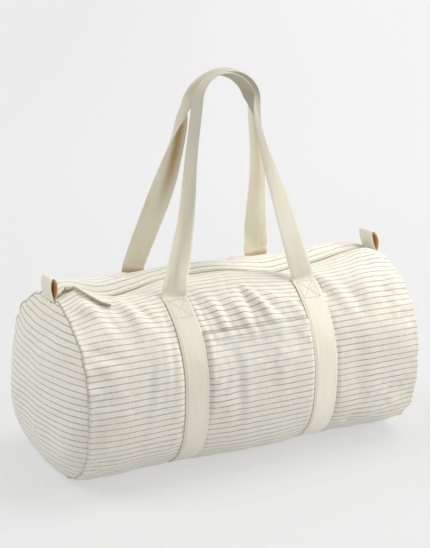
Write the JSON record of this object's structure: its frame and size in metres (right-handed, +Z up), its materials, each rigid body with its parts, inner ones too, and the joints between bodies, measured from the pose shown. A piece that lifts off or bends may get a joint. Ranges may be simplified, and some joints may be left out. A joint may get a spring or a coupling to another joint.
{
  "type": "weekender bag",
  "caption": "Barrel-shaped weekender bag in striped canvas with two long webbing handles, a zip along the top, folded webbing end tabs and a front slip pocket.",
  "frame": {"origin": "on the ground under the middle of the bag", "axes": "+X along the bag from the closed end of the zip to the open end, -Y towards the pocket side, +Z up"},
  "size_m": [0.6054, 0.2968, 0.5859],
  "materials": {
    "canvas": "matte plain-weave cotton canvas with narrow woven stripes",
    "webbing": "matte ribbed cotton webbing",
    "binding": "matte cotton binding tape",
    "zip_tape": "matte woven zip tape",
    "zip_coil": "satin nylon coil",
    "metal": "satin die-cast metal",
    "thread": "matte sewing thread",
    "cotton": "matte folded cotton tape"
  },
  "bodies": {
    "root": {"barrel_panel": "canvas", "front_pocket": "canvas", "end_panel_left": "canvas", "seam_binding_left": "binding", "band_left": "webbing", "tab_left": "webbing", "zip_stop_left": "thread", "end_panel_right": "canvas", "seam_binding_right": "binding", "band_right": "webbing", "tab_right": "webbing", "zip_stop_right": "thread", "zip_tape_front": "zip_tape", "zip_coil_front": "zip_coil", "cross_stitch_front_left": "thread", "cross_stitch_front_right": "thread", "zip_tape_rear": "zip_tape", "zip_coil_rear": "zip_coil", "cross_stitch_rear_left": "thread", "cross_stitch_rear_right": "thread"},
    "slider": {"zip_slider": "metal"},
    "puller": {"zip_puller": "cotton"},
    "front_handle_upper": {"front_handle_loop": "webbing"},
    "front_handle_lower": {"front_handle_leg_left": "webbing", "front_handle_leg_right": "webbing"},
    "rear_handle_upper": {"rear_handle_loop": "webbing"},
    "rear_handle_lower": {"rear_handle_leg_left": "webbing", "rear_handle_leg_right": "webbing"}
  },
  "joints": [
    {"name": "zip_slide", "type": "slide", "parent": "root", "child": "slider", "axis": [1, 0, 0], "range_m": [0, 0.48]},
    {"name": "puller_swing", "type": "hinge", "parent": "slider", "child": "puller", "pos_m": [-0.246, 0, 0.2768], "axis": [-1, 0, 0], "range_deg": [0, 155]},
    {"name": "front_handle_fold", "type": "hinge", "parent": "root", "child": "front_handle_lower", "pos_m": [0, -0.07414, 0.2657], "axis": [1, 0, 0], "range_deg": [0, 110]},
    {"name": "front_handle_bend", "type": "hinge", "parent": "front_handle_lower", "child": "front_handle_upper", "pos_m": [0, -0.0505, 0.37824], "axis": [1, 0, 0], "range_deg": [0, 68]},
    {"name": "rear_handle_fold", "type": "hinge", "parent": "root", "child": "rear_handle_lower", "pos_m": [0, 0.07414, 0.2657], "axis": [-1, 0, 0], "range_deg": [0, 110]},
    {"name": "rear_handle_bend", "type": "hinge", "parent": "rear_handle_lower", "child": "rear_handle_upper", "pos_m": [0, 0.05122, 0.37839], "axis": [-1, 0, 0], "range_deg": [0, 68]}
  ],
  "couplings": [
    {"joint": "front_handle_bend", "follows": "front_handle_fold", "ratio": 0.6181},
    {"joint": "rear_handle_bend", "follows": "rear_handle_fold", "ratio": 0.6181}
  ]
}
